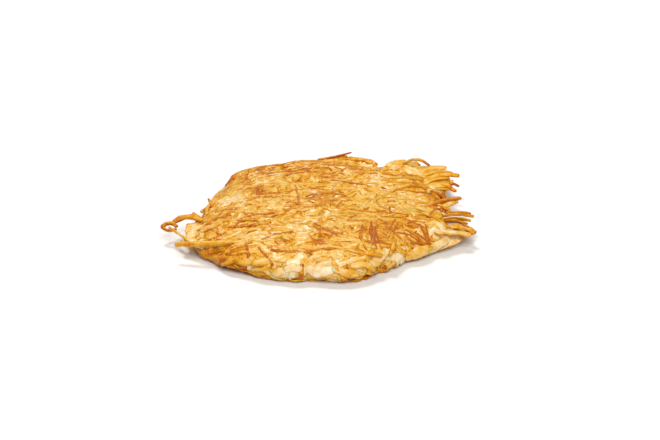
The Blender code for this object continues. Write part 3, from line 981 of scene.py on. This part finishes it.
sheets = []
for number, (inner, outer, tone) in enumerate(SHEETS):
    sheet, spread = new_grid(f"sheet_{number}", *SHEET_CUTS)
    share, out = (spread + 1) / 2
    fold = blotches(share, 0.25 * out, 0.035, 20 + number)
    ragged = 0.30 * (blotches(share, 0 * out, 0.09, 30 + number) - 0.5)
    start, end = along_edge(inner, share), along_edge(outer, share)
    taper = smooth_step(share / 0.16) * smooth_step((1 - share) / 0.16)
    places = start + (end - start) * (out * (0.3 + 0.7 * taper) * (1 + ragged * out))[:, None]
    sag = start[:, 2] + (end[:, 2] - start[:, 2]) * out**1.6 + OPEN_FOLD * (fold - 0.5) * out
    x, y = places[:, 0], places[:, 1]
    cover = cover_height(x, y) + (DRAPE + DRAPE_FOLD * (fold - 0.5)) * MM * smooth_step(out / 0.2)
    places[:, 2] = np.maximum(sag, np.maximum(cover, FLOOR_GAP + SHEET_CLEAR))
    sheet.data.vertices.foreach_set("co", (places - OUTLINE_MIDDLE).ravel())
    crest = smooth_step((fold - 0.66) / 0.16) + 0.8 * smooth_step((out - 0.93) / 0.07)
    set_numbers(sheet, "browned", tone + 0.24 * crest + 0.14 * (blotches(x, y, 5 * MM, 6) - 0.5))
    set_numbers(sheet, "shred", 0.5 + 0 * share)
    set_numbers(sheet, "edge", crest * 0.5)
    sheet.data.shade_smooth()
    solidify = sheet.modifiers.new("thickness", "SOLIDIFY")
    solidify.thickness = SHEET_THICKNESS
    bpy.ops.object.modifier_apply(modifier=solidify.name)
    sheets.append(sheet)
for sheet in sheets:
    sheet.select_set(True)
bpy.ops.object.join()
limp_sheets = bpy.context.object
limp_sheets.name = limp_sheets.data.name = "limp_sheets"
print(len(sheets), "limp sheets of", len(limp_sheets.data.polygons), "faces")

# %% [markdown]
# ## Underneath and crumbs
# The patty's underside was fried too, flat on the griddle. Flat shreds fill the gap under the mat,
# so the patty rests on them. Crumbs are short broken ends that stick to the top.

# %% Underside and crumbs
UNDER_SHREDS = 300
UNDER_REACH, UNDER_INSIDE = 0.96, 0.985  # shares of the rim's radius

under, crumbs = new_heap(), new_heap()
for number in range(UNDER_SHREDS):
    angle = number * GOLDEN_ANGLE
    radius = UNDER_REACH * math.sqrt((number + 0.5) / UNDER_SHREDS)
    place = around(angle, radius * rim_radius(angle % math.tau))
    length = between(16, 34)
    line = shred_line(place, draw.uniform(0, math.pi), length, draw.normal(0, 0.6), 0.0, 9)
    line = line[np.hypot(*line.T) < UNDER_INSIDE * rim_radius(np.arctan2(line[:, 1], line[:, 0]))]
    if len(line) < 4:
        continue
    thickness = between(1.0, 1.4)
    path = np.column_stack((line, np.full(len(line), thickness / 2 + between(0.05, 0.35))))
    toast = 0.34 + 0.20 * blotches(*line.T, 15 * MM, 21) + draw.normal(0, 0.05)
    add_body(under, path - OUTLINE_MIDDLE, UP, between(1.8, 3.0), thickness, 0.0, toast)

CRUMBS = 240
for number in range(CRUMBS):
    lay_shred(
        crumbs,
        scattered(CRUMBS, number, 0.97),
        draw.uniform(0, math.pi),
        between(2.5, 6.0),
        draw.normal(0, 0.8),
        0.0,
        between(1.0, 2.0),
        between(0.7, 1.2),
        between(0.2, 0.5),
        draw.normal(0.06, 0.16),
        1,
    )

for name, heap in (
    ("soft_shreds", soft),
    ("golden_shreds", golden),
    ("crisp_shreds", crisp),
    ("marked_shreds", by_hand),
    ("soft_slices", slices),
    ("stray_shreds", strays),
    ("web_shreds", webs),
    ("under_shreds", under),
    ("crumbs", crumbs),
):
    make_piece(name, heap)

# %% [markdown]
# ## Colour of fried potato
# Raw potato is pale cream. As it fries it turns straw yellow, gold, orange-brown and dark brown, in
# that order, so one ramp over how browned a point is gives every colour on the patty. The point's
# own number comes from how it was laid; noise adds the speckle of the crust, and a shred's edges,
# which dry first, are a step darker than its flat. On the mat that step falls in the hollows, as
# painted shade. The effect is a node group, so all kinds share it.


# %% Colour group
BUBBLE_SCALE = 1050  # bubbles about 1 mm wide


def put_node(tree, kind, x, y, **settings):
    """Adds a node at this place of the tree."""
    node = tree.nodes.new(kind)
    node.location = (x, y)
    for name, value in settings.items():
        setattr(node, name, value)
    return node


def math_node(tree, operation, x, y, first, second, clamp=False):
    """A Math node whose inputs are sockets or plain numbers."""
    node = put_node(tree, "ShaderNodeMath", x, y, operation=operation, use_clamp=clamp)
    for slot, value in enumerate((first, second)):
        if isinstance(value, bpy.types.NodeSocket):
            tree.links.new(value, node.inputs[slot])
        else:
            node.inputs[slot].default_value = value
    return node.outputs[0]


def scaled_gap(tree, x, y, first, second, scale, clamp=False):
    """The first value less the second, times the scale."""
    gap = math_node(tree, "SUBTRACT", x, y, first, second)
    return math_node(tree, "MULTIPLY", x + 200, y, gap, scale, clamp)


def noise_node(tree, x, y, place, scale, detail, roughness=0.5):
    """Noise over Object coordinates, about 0.5 on average."""
    node = put_node(tree, "ShaderNodeTexNoise", x, y)
    for name, value in (("Scale", scale), ("Detail", detail), ("Roughness", roughness)):
        node.inputs[name].default_value = value
    tree.links.new(place, node.inputs["Vector"])
    return node.outputs["Fac"]


def new_group(name, inputs, outputs):
    """A node group: its tree, its input and output sockets, a place on the piece and bubbles there."""
    tree = bpy.data.node_groups.new(name, "ShaderNodeTree")
    for way, sockets in (("INPUT", inputs), ("OUTPUT", outputs)):
        for socket in sockets:
            kind = "NodeSocketColor" if socket == "Colour" else "NodeSocketFloat"
            tree.interface.new_socket(socket, in_out=way, socket_type=kind)
    inputs = put_node(tree, "NodeGroupInput", -1200, 0).outputs
    outputs = put_node(tree, "NodeGroupOutput", 600, 0).inputs
    place = put_node(tree, "ShaderNodeTexCoord", -1200, -300).outputs["Object"]
    bubbles = put_node(tree, "ShaderNodeTexVoronoi", -1000, -300, feature="F1")
    bubbles.inputs["Scale"].default_value = BUBBLE_SCALE
    tree.links.new(place, bubbles.inputs["Vector"])
    return tree, inputs, outputs, place, bubbles.outputs["Distance"]


# How browned a point is, and its colour then, as light and not as display values.
FRIED_COLOURS = (
    (0.00, (0.850, 0.720, 0.500)),
    (0.18, (0.830, 0.610, 0.320)),
    (0.38, (0.785, 0.480, 0.142)),
    (0.56, (0.735, 0.394, 0.036)),
    (0.72, (0.668, 0.284, 0.000)),
    (0.86, (0.590, 0.190, 0.000)),
    (1.00, (0.440, 0.104, 0.000)),
)
# How much the edge number darkens: the dried edges of shreds, and painted shade in the mat's hollows.
EDGE_BROWNING_AND_HOLLOW_SHADE = 0.26

tree, inputs, outputs, place, bubbles = new_group(
    "fried_colour", ("Browned", "Shred", "Edge", "Speckle"), ("Colour", "Toast")
)
speckle = scaled_gap(tree, -800, -300, bubbles, 0.42, inputs["Speckle"])
patch = noise_node(tree, -1000, -550, place, 230, 3, 0.6)
patch = scaled_gap(tree, -800, -550, patch, 0.5, 1.1)
own = scaled_gap(tree, -800, 0, inputs["Shred"], 0.5, 0.10)
edge = math_node(tree, "MULTIPLY", -600, 150, inputs["Edge"], EDGE_BROWNING_AND_HOLLOW_SHADE)
toast = inputs["Browned"]
for number, extra in enumerate((own, edge, speckle, patch)):
    toast = math_node(tree, "ADD", -400 + 150 * number, 100 - 50 * number, toast, extra, number == 3)
ramp = put_node(tree, "ShaderNodeValToRGB", 200, 0)
for number, (amount, colour) in enumerate(FRIED_COLOURS):
    stops = ramp.color_ramp.elements
    stop = stops[number] if number < 2 else stops.new(amount)
    stop.position, stop.color = amount, (*colour, 1)
tree.links.new(toast, ramp.inputs["Fac"])
tree.links.new(ramp.outputs["Color"], outputs["Colour"])
tree.links.new(toast, outputs["Toast"])
fried_colour = tree
print("colour group with", len(fried_colour.nodes), "nodes")

# %% [markdown]
# ## Crust and fat
# Up close fried potato is blistered where it is brown and smooth where it is soft, and a thin film
# of fat lies over both, thicker in some places than in others. A second group gives the height of
# the blisters, the roughness and the fat's share, from how toasted the point is.

# %% Crust group
tree, inputs, outputs, place, bubbles = new_group(
    "fried_crust", ("Toast", "Relief"), ("Height", "Roughness", "Fat")
)
blistered = math_node(tree, "ADD", -800, 0, inputs["Toast"], 0.25)
blisters = scaled_gap(tree, -800, -200, 0.8, bubbles, blistered)
lumps = noise_node(tree, -800, -450, place, 380, 2)
lumps = math_node(tree, "MULTIPLY", -600, -450, lumps, 0.8)
smears = noise_node(tree, -800, -700, place, 160, 2)
height = math_node(tree, "ADD", -300, -300, blisters, lumps)
height = math_node(tree, "MULTIPLY", -150, -300, height, inputs["Relief"])
roughness = math_node(tree, "MULTIPLY", -450, 100, smears, 0.36)
roughness = math_node(tree, "ADD", -300, 100, roughness, 0.10, clamp=True)
fat = scaled_gap(tree, -450, -700, smears, 0.35, 0.5, clamp=True)
for name, socket in (("Height", height), ("Roughness", roughness), ("Fat", fat)):
    tree.links.new(socket, outputs[name])
fried_crust = tree
print("crust group with", len(fried_crust.nodes), "nodes")

# %% [markdown]
# ## Finishes
# One material for each kind of shred puts both groups together. Potato lets light in, soft potato
# more than crisp, so light that enters the pale shreds comes out again warm: that is the subsurface
# share. The fat is a clear coat over it.


# %% Materials
GLOW_REACH = (1.0, 0.55, 0.22)  # red light travels furthest


def fried_material(name, speckle, relief, glow, depth, coat_roughness):
    """`glow` is the subsurface share and `depth` how far the light travels."""
    material = bpy.data.materials.new(name)
    material.use_nodes = True
    tree = material.node_tree
    shader = tree.nodes["Principled BSDF"]
    colour = put_node(tree, "ShaderNodeGroup", -600, 150, node_tree=fried_colour)
    colour.inputs["Speckle"].default_value = speckle
    for row, number in enumerate(("Browned", "Shred", "Edge")):
        node = put_node(tree, "ShaderNodeAttribute", -900, 200 - 180 * row, attribute_name=number.lower())
        tree.links.new(node.outputs["Fac"], colour.inputs[number])
    crust = put_node(tree, "ShaderNodeGroup", -600, -150, node_tree=fried_crust)
    crust.inputs["Relief"].default_value = relief
    tree.links.new(colour.outputs["Toast"], crust.inputs["Toast"])
    bump = put_node(tree, "ShaderNodeBump", -300, -250)
    bump.inputs["Strength"].default_value = 0.8
    bump.inputs["Distance"].default_value = 0.5 * MM
    tree.links.new(crust.outputs["Height"], bump.inputs["Height"])
    tree.links.new(bump.outputs["Normal"], shader.inputs["Normal"])
    tree.links.new(colour.outputs["Colour"], shader.inputs["Base Color"])
    tree.links.new(crust.outputs["Roughness"], shader.inputs["Roughness"])
    tree.links.new(crust.outputs["Fat"], shader.inputs["Coat Weight"])
    for socket, value in (
        ("Subsurface Weight", glow),
        ("Subsurface Radius", GLOW_REACH),
        ("Subsurface Scale", depth),
        ("Coat Roughness", coat_roughness),
        ("Specular IOR Level", 0.2),
    ):
        shader.inputs[socket].default_value = value
    return material


# Piece, its finish's name, speckle, relief, glow, depth of the glow and roughness of the fat.
FINISHES = (
    ("fused_mat", "fused_potato", 0.34, 1.0, 0.35, 2.0 * MM, 0.12),
    ("soft_shreds", "soft_potato", 0.20, 0.7, 0.40, 2.2 * MM, 0.12),
    ("golden_shreds", "golden_potato", 0.30, 1.0, 0.25, 1.4 * MM, 0.12),
    ("crisp_shreds", "crisp_potato", 0.36, 1.2, 0.12, 0.9 * MM, 0.15),
    ("marked_shreds", "browned_potato", 0.60, 1.2, 0.12, 0.9 * MM, 0.15),
    ("stray_shreds", "dried_potato", 0.30, 1.0, 0.20, 1.0 * MM, 0.18),
    ("soft_slices", "sliced_potato", 0.24, 1.0, 0.40, 2.2 * MM, 0.10),
    ("web_shreds", "limp_potato", 0.22, 0.8, 0.35, 1.6 * MM, 0.12),
    ("limp_sheets", "limp_sheet_potato", 0.22, 1.0, 0.40, 2.0 * MM, 0.12),
    ("under_shreds", "griddled_potato", 0.30, 1.0, 0.20, 1.2 * MM, 0.20),
    ("crumbs", "crumb_potato", 0.34, 1.2, 0.20, 1.0 * MM, 0.15),
)
for name, *values in FINISHES:
    piece = bpy.data.objects[name]
    piece.data.materials.clear()
    piece.data.materials.append(fried_material(*values))
print(len(FINISHES), "finishes")

# %% [markdown]
# ## Ride and replace
# Every piece rides on the patty's one body and takes the solid's place.

# %% Ride and replace
for name, *_ in FINISHES:
    piece = bpy.data.objects[name]
    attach(piece, "root")
    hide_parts("hash_browns")
